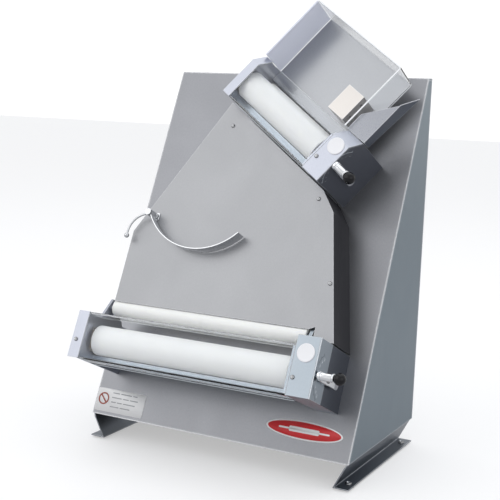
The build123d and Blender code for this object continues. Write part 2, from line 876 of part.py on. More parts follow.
    # spring plunger: a pin that drops into the dimples, with the ball knob on its outer end
    knob_u = arm_u + lever_thickness + sleeve_length + free_clearance
    with BuildPart() as knob:
        with BuildSketch(across(base, dial_sheet + free_clearance)):
            with Locations((lever_v, front_roller_w + lever_front_reach)):
                Circle(plunger_radius)
        extrude(amount=knob_u - dial_sheet - free_clearance + 3.0)
        knob_centre = base.from_local_coords(
            (knob_u + knob_radius - 1.0, lever_v, front_roller_w + lever_front_reach)
        )
        with Locations(Plane(origin=knob_centre, x_dir=base.y_dir, z_dir=base.x_dir)):
            Sphere(knob_radius)
        with BuildSketch(across(base, knob_u - knob_radius)):
            with Locations((lever_v, front_roller_w + lever_front_reach)):
                Circle(2 * knob_radius)
                Circle(plunger_radius, mode=Mode.SUBTRACT)
        extrude(amount=knob_radius, mode=Mode.SUBTRACT)
    save(knob, f"{unit}_plunger_knob")

    # clear guard in front of the rollers, bent from one sheet
    guard_left = (left_inner_u if guide else left_u + flange_width) + free_clearance
    guard_right = -cover_width - free_clearance
    guard_front = depth - free_clearance
    if chamfer_v:
        guard_line = [
            (0.0, depth - guard_bottom_depth),
            (0.0, guard_front),
            (unit_height - chamfer_v, guard_front),
            (unit_height - guard_sheet, guard_front - chamfer_w * (1 - guard_sheet / chamfer_v)),
        ]
    else:
        guard_line = [
            (0.0, depth - guard_bottom_depth),
            (0.0, guard_front),
            (guard_height, guard_front),
            (guard_height, guard_top_w),
        ]
    with BuildPart() as guard:
        with BuildSketch(across(base, guard_left)):
            add(folded(guard_line, -guard_sheet))
        extrude(amount=guard_right - guard_left)
    save(guard, f"{unit}_guard")

    # round white plug in the front of the cover, and the guard's fixing screws
    plug_u = -cover_width / 2
    with BuildPart() as plug:
        with BuildSketch(base.offset(depth)):
            with Locations((plug_u, plug_v)):
                Circle(plug_radius)
        extrude(amount=plug_height)
        fillet(plug.edges().group_by(Axis(base.origin, base.z_dir))[-1], radius=0.6)
    shared["cover_plugs"] = plug.part
    screw_places = [(-cover_width + 6.0, guard_screw_v)]
    if guide:
        screw_places.append((left_u - flange_width / 2, guard_screw_v + 2.0))
    with BuildPart() as screws:
        with BuildSketch(base.offset(depth)):
            with Locations(*screw_places):
                Circle(screw_head_radius)
        extrude(amount=screw_head_height)
    shared["cover_screws"] = screws.part

    # scraper blades under the two rollers; the rear one is bent out into a lip that leads the
    # dough over the front edge of the chute plate
    with BuildPart() as scrapers:
        for v, w, angle, lip in (
            (front_roller_v, front_roller_w, 185.0, []),
            (rear_roller_v, rear_roller_w, 160.0, [(scraper_lip_v, chute_w + scraper_gap)]),
        ):
            away = Vector(1, 0).rotate(Axis.Z, angle)
            tip = Vector(v, w) + away * (roller_radius + scraper_gap)
            back = tip + away * scraper_depth
            with BuildSketch(across(base, left_inner_u)):
                add(folded([tip, back] + lip, scraper_thickness))
            extrude(amount=right_u - left_inner_u)
    shared["scrapers"] = scrapers.part

    if guide:
        with BuildPart() as guide_roller:
            with BuildSketch(across(base, roller_u)):
                with Locations((guide_v, guide_w)):
                    Circle(guide_radius)
                    Circle(guide_pin_radius + running_clearance, mode=Mode.SUBTRACT)
            extrude(amount=roller_length)
        save(guide_roller, "guide_roller")
        with BuildPart() as guide_pin:
            with BuildSketch(across(base, left_u)):
                with Locations((guide_v, guide_w)):
                    Circle(guide_pin_radius)
            extrude(amount=-cover_width - left_u)
        save(guide_pin, "guide_roller_pin")
    return shared


lower_shared = roller_unit(
    "lower",
    lower_base,
    lower_span,
    lower_depth,
    0.0,
    0.0,
    lower_dial_depth,
    lower_plug_v,
    guide=True,
)
upper_shared = roller_unit(
    "upper",
    upper_base,
    upper_span,
    upper_depth,
    upper_chamfer_v,
    upper_chamfer_w,
    upper_depth,
    upper_plug_v,
    guide=False,
)

# screws in the chute plate, in the same node as the covers' screws
chute_screw_places = [(-61.0, 516.0), (127.0, 398.0), (178.0, 262.0)]
with BuildPart() as chute_screws:
    with BuildSketch(panel.offset(chute_w)):
        with Locations(*chute_screw_places):
            Circle(screw_head_radius)
    extrude(amount=screw_head_height)
lower_shared["cover_screws"] += chute_screws.part

# pieces that the two units have alike share a node, one or more solids for each unit
for label, lower_piece in lower_shared.items():
    with BuildPart() as pair:
        add(lower_piece)
        add(upper_shared[label])
    save(pair, label)

# ---------------------------------------------------------------- dough tray on the upper unit
tray_back_w = rear_roller_w + tray_back_standoff
tray_front_w = upper_depth - tray_front_setback
tray_bottom_v = rear_roller_v + roller_radius + 3.5
tray_top_v = unit_height + tray_rise
tray_left_u = -upper_span
tray_right_u = -cover_width - 4.0
# steel back plate that the dough slides down
with BuildPart() as tray_back:
    with BuildSketch(upper_base.offset(tray_back_w - tray_sheet)):
        with Locations(((tray_left_u + tray_right_u) / 2, (tray_bottom_v + tray_top_v) / 2)):
            Rectangle(
                tray_right_u - tray_left_u - 2 * left_plate_thickness - 1.0, tray_top_v - tray_bottom_v
            )
    extrude(amount=tray_sheet)
save(tray_back, "tray_back")

# clear walls: left, top and right, with their corners square
wall_low_v = unit_height + tray_gap
with BuildPart() as tray_walls:
    with BuildSketch(upper_base.offset(tray_back_w)):
        add(
            folded(
                [
                    (tray_left_u + 1.0, wall_low_v),
                    (tray_left_u + 1.0, tray_top_v),
                    (tray_right_u, tray_top_v),
                    (tray_right_u, wall_low_v),
                ],
                -tray_wall,
            )
        )
    extrude(amount=tray_front_w - tray_back_w)
save(tray_walls, "tray_walls")

# folded side channel between the tray and the right end, with its top cut on the slant
channel_left_u = tray_right_u + 0.6
channel_top_v = unit_height + channel_rise
with BuildPart() as side_channel:
    with BuildSketch(upper_base.offset(channel_w - tray_sheet)):
        with BuildLine():
            Polyline(
                (channel_left_u, wall_low_v),
                (0, wall_low_v),
                (0, channel_top_v),
                (channel_left_u, channel_top_v - channel_drop),
                close=True,
            )
        make_face()
    extrude(amount=tray_sheet)
    with BuildSketch(across(upper_base, -tray_sheet)):
        with BuildLine():
            Polyline(
                (wall_low_v, channel_w - channel_low_depth),
                (wall_low_v, channel_w),
                (channel_top_v, channel_w),
                (channel_top_v + channel_back_rise, channel_w - channel_high_depth),
                close=True,
            )
        make_face()
    extrude(amount=tray_sheet)
save(side_channel, "side_channel")

# folded steel block that keeps the dough off the right wall
block_right = tray_right_u - 22.0
block_left = block_right - block_width
block_low = tray_bottom_v + 25.0
block_high = block_low + block_length
block_top_w = tray_back_w + block_height
hole_v_low = block_low + block_hole_inset
hole_v_high = block_high - block_hole_inset
with BuildPart() as dough_block:
    with BuildSketch(upper_base.offset(tray_back_w)):
        with Locations(((block_left + block_right) / 2, (block_low + block_high) / 2)):
            Rectangle(block_right - block_left, block_high - block_low)
    extrude(amount=block_top_w - tray_back_w)
    with BuildSketch(upper_base.offset(tray_back_w)):
        with Locations(((block_left + block_right) / 2, (block_low + block_high) / 2)):
            Rectangle(block_right - block_left - 2 * tray_sheet, block_high - block_low - 2 * tray_sheet)
    extrude(amount=block_top_w - tray_back_w - tray_sheet, mode=Mode.SUBTRACT)
    with BuildSketch(across(upper_base, block_right - tray_sheet)):
        with Locations(
            (hole_v_low, block_top_w - block_hole_inset), (hole_v_high, block_top_w - block_hole_inset)
        ):
            Circle(block_hole_radius)
    extrude(amount=tray_sheet, mode=Mode.SUBTRACT)
save(dough_block, "dough_block")
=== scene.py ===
import json
import math

import bmesh
import bpy
from mathutils import Matrix, Vector

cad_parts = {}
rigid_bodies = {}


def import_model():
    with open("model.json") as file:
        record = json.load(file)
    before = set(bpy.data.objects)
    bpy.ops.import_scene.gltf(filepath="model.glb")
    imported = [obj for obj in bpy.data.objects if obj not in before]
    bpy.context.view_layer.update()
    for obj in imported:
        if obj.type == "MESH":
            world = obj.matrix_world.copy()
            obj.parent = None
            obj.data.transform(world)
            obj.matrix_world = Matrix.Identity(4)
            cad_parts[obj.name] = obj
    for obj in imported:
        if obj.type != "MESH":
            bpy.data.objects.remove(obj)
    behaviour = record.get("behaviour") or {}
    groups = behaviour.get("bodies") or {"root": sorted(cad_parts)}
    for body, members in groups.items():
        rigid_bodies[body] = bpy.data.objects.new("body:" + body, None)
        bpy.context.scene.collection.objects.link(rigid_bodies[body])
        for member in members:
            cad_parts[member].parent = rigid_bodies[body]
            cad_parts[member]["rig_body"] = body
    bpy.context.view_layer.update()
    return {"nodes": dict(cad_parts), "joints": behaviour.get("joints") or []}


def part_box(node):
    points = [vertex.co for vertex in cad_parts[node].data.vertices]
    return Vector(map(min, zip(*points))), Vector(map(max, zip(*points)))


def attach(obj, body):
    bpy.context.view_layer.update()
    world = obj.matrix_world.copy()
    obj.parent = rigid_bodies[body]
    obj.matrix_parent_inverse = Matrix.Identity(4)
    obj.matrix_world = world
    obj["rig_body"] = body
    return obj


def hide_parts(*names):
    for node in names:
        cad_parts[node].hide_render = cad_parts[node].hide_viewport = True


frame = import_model()

# ------------------------------------------------------------------ camera, floor and light
# A long lens to the right of the machine and above its middle, looking slightly down. Its stand is
# measured from the foot of the casing's sloped face. The floor and sky are brighter to the camera.
joints = {joint["name"]: joint for joint in frame["joints"]}
outward = Vector(joints["rocker_swing"]["axis"])
casing_sheet = 0.002
casing_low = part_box("front_panel")[0]
casing_foot = Vector((0, casing_low.y, casing_low.z + casing_sheet * outward.z))
yaw, pitch, roll = (math.radians(angle) for angle in (-27.660, 8.338, 2.102))
ahead = Vector((math.sin(yaw) * math.cos(pitch), math.cos(yaw) * math.cos(pitch), -math.sin(pitch)))
level = Vector((math.cos(yaw), -math.sin(yaw), 0))
above = level.cross(ahead)
to_right = level * math.cos(roll) + above * math.sin(roll)
to_top = above * math.cos(roll) - level * math.sin(roll)
camera = bpy.data.objects.new("camera", bpy.data.cameras.new("camera"))
camera.data.lens = 76.66
camera.data.sensor_width = 36
camera.data.clip_end = 100
camera_stand = Vector((0.8211, -1.4582, 0.5559)) + Vector((0, casing_foot.y, casing_foot.z))
camera.matrix_world = (
    Matrix.Translation(camera_stand)
    @ Matrix((to_right, to_top, -ahead)).transposed().to_4x4()
)
bpy.context.collection.objects.link(camera)
bpy.context.scene.camera = camera

floor_shape = bmesh.new()
bmesh.ops.create_grid(floor_shape, x_segments=1, y_segments=1, size=15)
floor = bpy.data.objects.new("studio_floor", bpy.data.meshes.new("studio_floor"))
floor_shape.to_mesh(floor.data)
floor_shape.free()
bpy.context.collection.objects.link(floor)
floor_finish = bpy.data.materials.new("pale_floor")
floor_finish.use_nodes = True
floor_tree = floor_finish.node_tree
floor_paint = floor_tree.nodes["Principled BSDF"]
floor_paint.inputs["Base Color"].default_value = (0.55, 0.55, 0.56, 1)
floor_paint.inputs["Roughness"].default_value = 0.8
floor_paint.inputs["Emission Color"].default_value = (1, 1, 1, 1)
floor_seen = floor_tree.nodes.new("ShaderNodeLightPath")
floor_glow = floor_tree.nodes.new("ShaderNodeMapRange")
floor_glow.inputs["To Min"].default_value = 0.0
floor_glow.inputs["To Max"].default_value = 0.45
floor_tree.links.new(floor_seen.outputs["Is Camera Ray"], floor_glow.inputs["Value"])
floor_tree.links.new(floor_glow.outputs["Result"], floor_paint.inputs["Emission Strength"])
floor.data.materials.append(floor_finish)

studio = bpy.data.worlds.new("studio")
bpy.context.scene.world = studio
studio.use_nodes = True
sky = studio.node_tree.nodes["Background"]
sky_way = studio.node_tree.nodes.new("ShaderNodeTexCoord")
sky_split = studio.node_tree.nodes.new("ShaderNodeSeparateXYZ")
sky_ramp = studio.node_tree.nodes.new("ShaderNodeValToRGB")
sky_ramp.color_ramp.elements[0].position = 0.0
sky_ramp.color_ramp.elements[0].color = (1.0, 1.0, 1.0, 1)
sky_ramp.color_ramp.elements[1].position = 0.9
sky_ramp.color_ramp.elements[1].color = (0.86, 0.88, 0.90, 1)
sky_seen = studio.node_tree.nodes.new("ShaderNodeLightPath")
sky_power = studio.node_tree.nodes.new("ShaderNodeMapRange")
sky_power.inputs["To Min"].default_value = 0.86
sky_power.inputs["To Max"].default_value = 1.12
studio.node_tree.links.new(sky_seen.outputs["Is Camera Ray"], sky_power.inputs["Value"])
studio.node_tree.links.new(sky_power.outputs["Result"], sky.inputs["Strength"])
bpy.context.scene.view_settings.view_transform = "Standard"
studio.node_tree.links.new(sky_way.outputs["Generated"], sky_split.inputs[0])
studio.node_tree.links.new(sky_split.outputs["Z"], sky_ramp.inputs["Fac"])
studio.node_tree.links.new(sky_ramp.outputs["Color"], sky.inputs["Color"])

for label, stand, size, power, warmth in (
    ("key", (-2.2, -2.6, 2.6), 3.6, 34, (1.0, 0.99, 0.98)),
    ("top", (0.3, 0.6, 3.4), 3.6, 28, (1.0, 1.0, 1.0)),
    ("side", (2.8, -1.4, 1.2), 2.4, 9, (0.95, 0.98, 1.0)),
):
    lamp = bpy.data.lights.new(label, "AREA")
    lamp.energy = power
    lamp.size = size
    lamp.color = warmth
    lamp_object = bpy.data.objects.new(label, lamp)
    lamp_object.location = stand
    aim = Vector((0, 0, 0.35)) - Vector(stand)
    lamp_object.rotation_euler = aim.to_track_quat("-Z", "Y").to_euler()
    bpy.context.collection.objects.link(lamp_object)


def in_scene(name, shape, *finishes):
    """Object at the origin, shaded smooth, from a bmesh that is used up."""
    mesh = bpy.data.meshes.new(name)
    shape.to_mesh(mesh)
    shape.free()
    for finish in finishes:
        mesh.materials.append(finish)
    mesh.shade_smooth()
    piece = bpy.data.objects.new(name, mesh)
    bpy.context.collection.objects.link(piece)
    return piece


def rounded(piece, width, steps=2):
    """Takes the sharp edges of a piece off by width."""
    edge = piece.modifiers.new("rounded edges", "BEVEL")
    edge.width = width
    edge.segments = steps
    edge.limit_method = "ANGLE"
    edge.angle_limit = math.radians(32)
    edge.harden_normals = True
    return piece


def worked(node, finish, width, other=None, takes_other=None):
    """The node's own shape with its edges taken off by width; chosen faces take the other finish.

    A face that meets a neighbour at a shallow angle is part of a round and is shaded smooth.
    """
    shallowest, deepest = 0.02, 0.56
    shape = bmesh.new()
    shape.from_mesh(frame["nodes"][node].data)
    bmesh.ops.remove_doubles(shape, verts=shape.verts, dist=1e-5)
    bmesh.ops.dissolve_limit(
        shape, angle_limit=math.radians(0.4), verts=shape.verts, edges=shape.edges
    )
    finishes = [finish]
    if other:
        finishes.append(other)
        for face in shape.faces:
            face.material_index = int(takes_other(face))
    curved = [
        any(shallowest < edge.calc_face_angle(0.0) < deepest for edge in face.edges)
        for face in shape.faces
    ]
    piece = in_scene(f"{node}_worked", shape, *finishes)
    piece.data.polygons.foreach_set("use_smooth", curved)
    rounded(piece, width)
    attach(piece, frame["nodes"][node]["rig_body"])
    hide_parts(node)
    return piece


def group_of(name, sockets):
    """Empty node group with the named inputs and outputs, and its own two end nodes."""
    group = bpy.data.node_groups.new(name, "ShaderNodeTree")
    for label, way, kind, value in sockets:
        socket = group.interface.new_socket(label, in_out=way, socket_type=kind)
        if value is not None:
            socket.default_value = value
    start = group.nodes.new("NodeGroupInput")
    end = group.nodes.new("NodeGroupOutput")
    return group, start, end


# Ground grain: long fine scratches one way, and broad soft patches from handling and wiping.
grain, grain_in, grain_out = group_of(
    "ground_grain",
    (
        ("Turn", "INPUT", "NodeSocketVector", (0, 0, 0)),
        ("Grain", "INPUT", "NodeSocketVector", (900, 900, 8)),
        ("Scratches", "OUTPUT", "NodeSocketFloat", None),
        ("Patches", "OUTPUT", "NodeSocketFloat", None),
    ),
)
grain_from = grain.nodes.new("ShaderNodeTexCoord")
grain_map = grain.nodes.new("ShaderNodeMapping")
grain_noise = grain.nodes.new("ShaderNodeTexNoise")
grain_noise.inputs["Scale"].default_value = 1.0
grain_noise.inputs["Detail"].default_value = 3.0
grain_patch = grain.nodes.new("ShaderNodeTexNoise")
grain_patch.inputs["Scale"].default_value = 9.0
grain_patch.inputs["Detail"].default_value = 4.0
grain_patch.inputs["Distortion"].default_value = 0.6
grain.links.new(grain_from.outputs["Object"], grain_map.inputs["Vector"])
grain.links.new(grain_in.outputs["Turn"], grain_map.inputs["Rotation"])
grain.links.new(grain_in.outputs["Grain"], grain_map.inputs["Scale"])
grain.links.new(grain_map.outputs["Vector"], grain_noise.inputs["Vector"])
grain.links.new(grain_from.outputs["Object"], grain_patch.inputs["Vector"])
grain.links.new(grain_noise.outputs["Fac"], grain_out.inputs["Scratches"])
grain.links.new(grain_patch.outputs["Fac"], grain_out.inputs["Patches"])

# Worn edges and painted highlight: a mask that is light along outside corners, where handling polishes
# the metal and where a painted highlight stands for the light the edges catch.
wear_and_sheen, wear_sheen_in, wear_sheen_out = group_of(
    "worn_and_sheen_edges",
    (
        ("Strength", "INPUT", "NodeSocketFloat", 4.0),
        ("Reach", "INPUT", "NodeSocketFloat", 0.0016),
        ("Edge", "OUTPUT", "NodeSocketFloat", None),
    ),
)
wear_sheen_soft = wear_and_sheen.nodes.new("ShaderNodeBevel")
wear_sheen_soft.samples = 4
wear_sheen_true = wear_and_sheen.nodes.new("ShaderNodeNewGeometry")
wear_sheen_dot = wear_and_sheen.nodes.new("ShaderNodeVectorMath")
wear_sheen_dot.operation = "DOT_PRODUCT"
wear_sheen_less = wear_and_sheen.nodes.new("ShaderNodeMath")
wear_sheen_less.operation = "SUBTRACT"
wear_sheen_less.inputs[0].default_value = 1.0
wear_sheen_more = wear_and_sheen.nodes.new("ShaderNodeMath")
wear_sheen_more.operation = "MULTIPLY"
wear_sheen_more.use_clamp = True
wear_and_sheen.links.new(wear_sheen_in.outputs["Reach"], wear_sheen_soft.inputs["Radius"])
wear_and_sheen.links.new(wear_sheen_soft.outputs["Normal"], wear_sheen_dot.inputs[0])
wear_and_sheen.links.new(wear_sheen_true.outputs["True Normal"], wear_sheen_dot.inputs[1])
wear_and_sheen.links.new(wear_sheen_dot.outputs["Value"], wear_sheen_less.inputs[1])
wear_and_sheen.links.new(wear_sheen_less.outputs[0], wear_sheen_more.inputs[0])
wear_and_sheen.links.new(wear_sheen_in.outputs["Strength"], wear_sheen_more.inputs[1])
wear_and_sheen.links.new(wear_sheen_more.outputs[0], wear_sheen_out.inputs["Edge"])


def ranged(tree, value, low, high):
    """Turns a 0 to 1 value into one between low and high."""
    span = tree.nodes.new("ShaderNodeMapRange")
    span.inputs["To Min"].default_value = low
    span.inputs["To Max"].default_value = high
    tree.links.new(value, span.inputs["Value"])
    return span.outputs["Result"]


def blended(tree, mask, first, second):
    """Colour that goes from first to second with the mask; each is a colour or an output."""
    mix = tree.nodes.new("ShaderNodeMix")
    mix.data_type = "RGBA"
    tree.links.new(mask, mix.inputs["Factor"])
    for socket, colour in ((mix.inputs["A"], first), (mix.inputs["B"], second)):
        if isinstance(colour, bpy.types.NodeSocket):
            tree.links.new(colour, socket)
        else:
            socket.default_value = (*colour, 1)
    return mix.outputs["Result"]


def grooved(tree, surface, height, distance, strength=1.0):
    """Gives a surface a bump of the given distance from a 0 to 1 height."""
    bump = tree.nodes.new("ShaderNodeBump")
    bump.inputs["Distance"].default_value = distance
    bump.inputs["Strength"].default_value = strength
    tree.links.new(height, bump.inputs["Height"])
    tree.links.new(bump.outputs["Normal"], surface.inputs["Normal"])


def ground_metal(
    name, dark, light, smooth, turn=(0, 0, 0), lines=(900, 900, 8), edge=(0.9, 0.91, 0.93), reach=0.0016
):
    """Bare sheet or plate with a ground grain, soft patches, and corners lightened by polish and by a
    painted highlight.
    """
    metal = bpy.data.materials.new(name)
    metal.use_nodes = True
    tree = metal.node_tree
    surface = tree.nodes["Principled BSDF"]
    surface.inputs["Metallic"].default_value = 1.0
    pattern = tree.nodes.new("ShaderNodeGroup")
    pattern.node_tree = grain
    pattern.inputs["Turn"].default_value = turn
    pattern.inputs["Grain"].default_value = lines
    # Outside corners take the edge colour: polish from handling, and a painted highlight.
    corners = tree.nodes.new("ShaderNodeGroup")
    corners.node_tree = wear_and_sheen
    corners.inputs["Reach"].default_value = reach
    base = blended(tree, pattern.outputs["Scratches"], dark, light)
    tree.links.new(
        blended(tree, corners.outputs["Edge"], base, edge), surface.inputs["Base Color"]
    )
    both = tree.nodes.new("ShaderNodeMath")
    both.operation = "MULTIPLY"
    tree.links.new(pattern.outputs["Scratches"], both.inputs[0])
    tree.links.new(pattern.outputs["Patches"], both.inputs[1])
    tree.links.new(
        ranged(tree, both.outputs[0], smooth - 0.10, smooth + 0.22),
        surface.inputs["Roughness"],
    )
    grooved(tree, surface, pattern.outputs["Scratches"], 0.00002, 0.35)
    return metal


slope = math.atan2(outward.z, -outward.y)
front_steel = ground_metal(
    "front_stainless",
    (0.25, 0.255, 0.275),
    (0.34, 0.345, 0.365),
    0.44,
    turn=(slope, 0, 0),
    reach=0.004,
)
side_steel = ground_metal(
    "side_stainless", (0.24, 0.29, 0.33), (0.33, 0.38, 0.42), 0.44, reach=0.004
)
worked("front_panel", front_steel, 0.0007)
for node in ("left_side_panel", "right_side_panel", "back_cover"):
    worked(node, side_steel, 0.0007)


# Screws: zinc plated button heads with a round-bottomed recess, in the chute plate and the end covers
# and along the edges of the back sheet. The casing's face has u along it, v up it and w straight out.
def directions(along, origin):
    """Matrix with u along the given direction, w out of the casing and the given origin."""
    up = outward.cross(along)
    turn = Matrix((along, up, outward)).transposed().to_4x4()
    return Matrix.Translation(origin) @ turn


casing = directions(Vector((1, 0, 0)), casing_foot)


def seat(place, centre, axis):
    """Frame at centre whose X runs along axis 0, 1 or 2 of the given place."""
    turns = (
        Matrix.Identity(4),
        Matrix.Rotation(math.radians(90), 4, "Z"),
        Matrix.Rotation(math.radians(-90), 4, "Y"),
    )
    return place @ Matrix.Translation(centre) @ turns[axis]


def turned(outline, place, steps=48):
    """Lathe work: the outline gives distance along the place's X and radius, and closes on itself."""
    shape = bmesh.new()
    ring = [shape.verts.new((along, radius, 0)) for along, radius in outline]
    edges = [shape.edges.new(pair) for pair in zip(ring, ring[1:] + ring[:1])]
    bmesh.ops.spin(
        shape,
        geom=ring + edges,
        axis=(1, 0, 0),
        cent=(0, 0, 0),
        angle=math.tau,
        steps=steps,
        use_merge=True,
    )
    bmesh.ops.remove_doubles(shape, verts=shape.verts, dist=1e-6)
    bmesh.ops.dissolve_degenerate(shape, edges=shape.edges, dist=1e-6)
    bmesh.ops.transform(shape, matrix=place, verts=shape.verts)
    bmesh.ops.recalc_face_normals(shape, faces=shape.faces)
    return shape


def joined(shapes):
    """One bmesh with the faces of several, which are used up."""
    whole = bmesh.new()
    for shape in shapes:
        mesh = bpy.data.meshes.new("joining")
        shape.to_mesh(mesh)
        shape.free()
        whole.from_mesh(mesh)
        bpy.data.meshes.remove(mesh)
    return whole


def lumps(node, place):
    """Lowest and highest corner, along the axes of place, of each loose solid in a node."""
    shape = bmesh.new()
    shape.from_mesh(frame["nodes"][node].data)
    bmesh.ops.remove_doubles(shape, verts=shape.verts, dist=1e-5)
    bmesh.ops.transform(shape, matrix=place.inverted(), verts=shape.verts)
    left = set(shape.verts)
    found = []
    while left:
        waiting = [left.pop()]
        points = []
        while waiting:
            vertex = waiting.pop()
            points.append(vertex.co.copy())
            for edge in vertex.link_edges:
                other = edge.other_vert(vertex)
                if other in left:
                    left.remove(other)
                    waiting.append(other)
        found.append(
            (
                Vector([min(point[i] for point in points) for i in range(3)]),
                Vector([max(point[i] for point in points) for i in range(3)]),
            )
        )
    shape.free()
    return sorted(found, key=lambda pair: tuple(round(value, 4) for value in pair[0]))


def screw_head(place, radius, height):
    """Button head standing on the place's X = 0, with a round-bottomed recess."""
    dome = [
        (height * math.sin(step * math.pi / 12), radius * math.cos(step * math.pi / 12) ** 0.45)
        for step in range(1, 5)
    ]
    recess = radius * 0.42
    outline = (
        [(0, 0), (0, radius)]
        + dome
        + [(height, recess), (height * 0.35, recess * 0.95), (height * 0.2, 0)]
    )
    return turned(outline, place, 24)


screw_steel = ground_metal(
    "zinc_plate", (0.16, 0.16, 0.165), (0.30, 0.30, 0.30), 0.26, lines=(700, 700, 700)
)
heads = []
for low, high in lumps("cover_screws", casing):
    middle = (low + high) / 2
    heads.append(
        screw_head(seat(casing, (middle.x, middle.y, low.z), 2), (high.y - low.y) / 2, high.z - low.z)
    )
screws = in_scene("cover_screw_heads", joined(heads), screw_steel)
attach(screws, "frame")
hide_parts("cover_screws")

back_low, back_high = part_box("back_cover")
back_face = Matrix.Translation((0, back_high.y, 0)) @ Matrix.Rotation(math.radians(90), 4, "Z")
back_margin = 0.012
back_head_radius, back_head_height = 0.0036, 0.0018
heads = []
for height_share in (0.03, 0.5, 0.97):
    z = back_low.z + (back_high.z - back_low.z) * height_share
    for x in (back_low.x + back_margin, back_high.x - back_margin):
        spot = Matrix.Translation((x, 0, z)) @ back_face
        heads.append(screw_head(spot, back_head_radius, back_head_height))
back_screws = in_scene("back_sheet_screws", joined(heads), screw_steel)
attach(back_screws, "frame")


# ------------------------------------------------------------------ feet
# Two rails bent from stainless sheet carry the casing. Each stands on two round rubber pads, and a
# bolt through the flange holds each pad.
# The near-white edge colour on the rails' corners is a painted highlight along their folds, with some
# polish from wear.
rail_steel = ground_metal(
    "rail_stainless",
    (0.13, 0.145, 0.17),
    (0.21, 0.23, 0.26),
    0.36,
    turn=(math.radians(90), 0, 0),
    edge=(0.70, 0.72, 0.75),
    reach=0.003,
)
for node in ("left_foot_rail", "right_foot_rail"):
    worked(node, rail_steel, 0.0006)


def moulded(name, colour, low_shine, high_shine, grit=0.00004, fineness=900.0, fleck=0.75):
    """Rubber or plastic: one colour with faint mottling and a fine moulded texture."""
    plastic = bpy.data.materials.new(name)
    plastic.use_nodes = True
    tree = plastic.node_tree
    surface = tree.nodes["Principled BSDF"]
    where = tree.nodes.new("ShaderNodeTexCoord")
    fine = tree.nodes.new("ShaderNodeTexNoise")
    fine.inputs["Scale"].default_value = fineness
    fine.inputs["Detail"].default_value = 2.0
    broad = tree.nodes.new("ShaderNodeTexNoise")
    broad.inputs["Scale"].default_value = 14.0
    broad.inputs["Detail"].default_value = 5.0
    tree.links.new(where.outputs["Object"], fine.inputs["Vector"])
    tree.links.new(where.outputs["Object"], broad.inputs["Vector"])
    darker = tuple(channel * fleck for channel in colour)
    tree.links.new(
        blended(tree, broad.outputs["Fac"], darker, colour), surface.inputs["Base Color"]
    )
    tree.links.new(
        ranged(tree, broad.outputs["Fac"], low_shine, high_shine),
        surface.inputs["Roughness"],
    )
    grooved(tree, surface, fine.outputs["Fac"], grit, 0.5)
    return plastic


pad_rubber = moulded("pad_rubber", (0.035, 0.035, 0.037), 0.55, 0.85)
pads = []
for low, high in lumps("rubber_feet", Matrix.Identity(4)):
    radius = (high.x - low.x) / 2
    middle = (low + high) / 2
    edge = 0.0008
    outline = [
        (0, 0), (0, radius - edge), (edge, radius), (high.z - low.z - edge, radius),
        (high.z - low.z, radius - edge), (high.z - low.z, 0),
    ]
    pads.append(turned(outline, seat(Matrix.Identity(4), (middle.x, middle.y, low.z), 2), 32))
rubber = in_scene("rubber_pads", joined(pads), pad_rubber)
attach(rubber, "frame")
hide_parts("rubber_feet")

bolts = []
for low, high in lumps("foot_bolts", Matrix.Identity(4)):
    middle = (low + high) / 2
    bolts.append(
        screw_head(
            seat(Matrix.Identity(4), (middle.x, middle.y, low.z), 2), (high.x - low.x) / 2, high.z - low.z
        )
    )
foot_bolts = in_scene("foot_bolt_heads", joined(bolts), screw_steel)
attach(foot_bolts, "frame")
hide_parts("foot_bolts")

# ------------------------------------------------------------------ cable gland and power switch
# The gland is black nylon, screwed into the back sheet. The switch sits in the left side: a moulded
# frame with a rocking button that carries a white bar and ring.
nylon = moulded("gland_nylon", (0.045, 0.045, 0.05), 0.35, 0.55)
worked("cable_gland", nylon, 0.0006)
switch_black = moulded("switch_black", (0.03, 0.03, 0.032), 0.22, 0.40)
worked("switch_frame", switch_black, 0.0008)
worked("power_switch", switch_black, 0.0006)

# ------------------------------------------------------------------ chute
# A flat stainless plate stands out from the casing on two webs. The right one is coloured near-black, a
# painted shade for the dark gap behind the plate. The dough slides down it from the upper rollers to the
# guide roller of the lower unit.
chute_steel = ground_metal(
    "chute_stainless", (0.31, 0.315, 0.33), (0.40, 0.405, 0.42), 0.42, turn=(slope, 0, 0)
)
worked("chute_plate", chute_steel, 0.0004)


def painted(name, colour, shine, rub_and_sheen=(0.35, 0.35, 0.36)):
    """Paint on metal, slightly uneven, and lighter at the corners, where it is rubbed through and where a
    highlight is painted.
    """
    paint = bpy.data.materials.new(name)
    paint.use_nodes = True
    tree = paint.node_tree
    surface = tree.nodes["Principled BSDF"]
    pattern = tree.nodes.new("ShaderNodeGroup")
    pattern.node_tree = grain
    pattern.inputs["Grain"].default_value = (260, 260, 260)
    corners = tree.nodes.new("ShaderNodeGroup")
    corners.node_tree = wear_and_sheen
    corners.inputs["Strength"].default_value = 2.0
    lighter = tuple(min(1.0, channel * 1.35 + 0.01) for channel in colour)
    base = blended(tree, pattern.outputs["Patches"], colour, lighter)
    # Corners take a lighter colour: paint rubbed through, and a painted highlight.
    tree.links.new(
        blended(tree, corners.outputs["Edge"], base, rub_and_sheen), surface.inputs["Base Color"]
    )
    tree.links.new(
        ranged(tree, pattern.outputs["Patches"], shine - 0.08, shine + 0.12),
        surface.inputs["Roughness"],
    )
    grooved(tree, surface, pattern.outputs["Scratches"], 0.00003, 0.4)
    return paint


# Near-black web: painted shade for the dark gap between the chute plate and the casing.
web_painted_shade = painted("web_painted_shade", (0.005, 0.005, 0.009), 0.62, rub_and_sheen=(0.16, 0.16, 0.17))
worked("chute_side_walls", web_painted_shade, 0.0004)

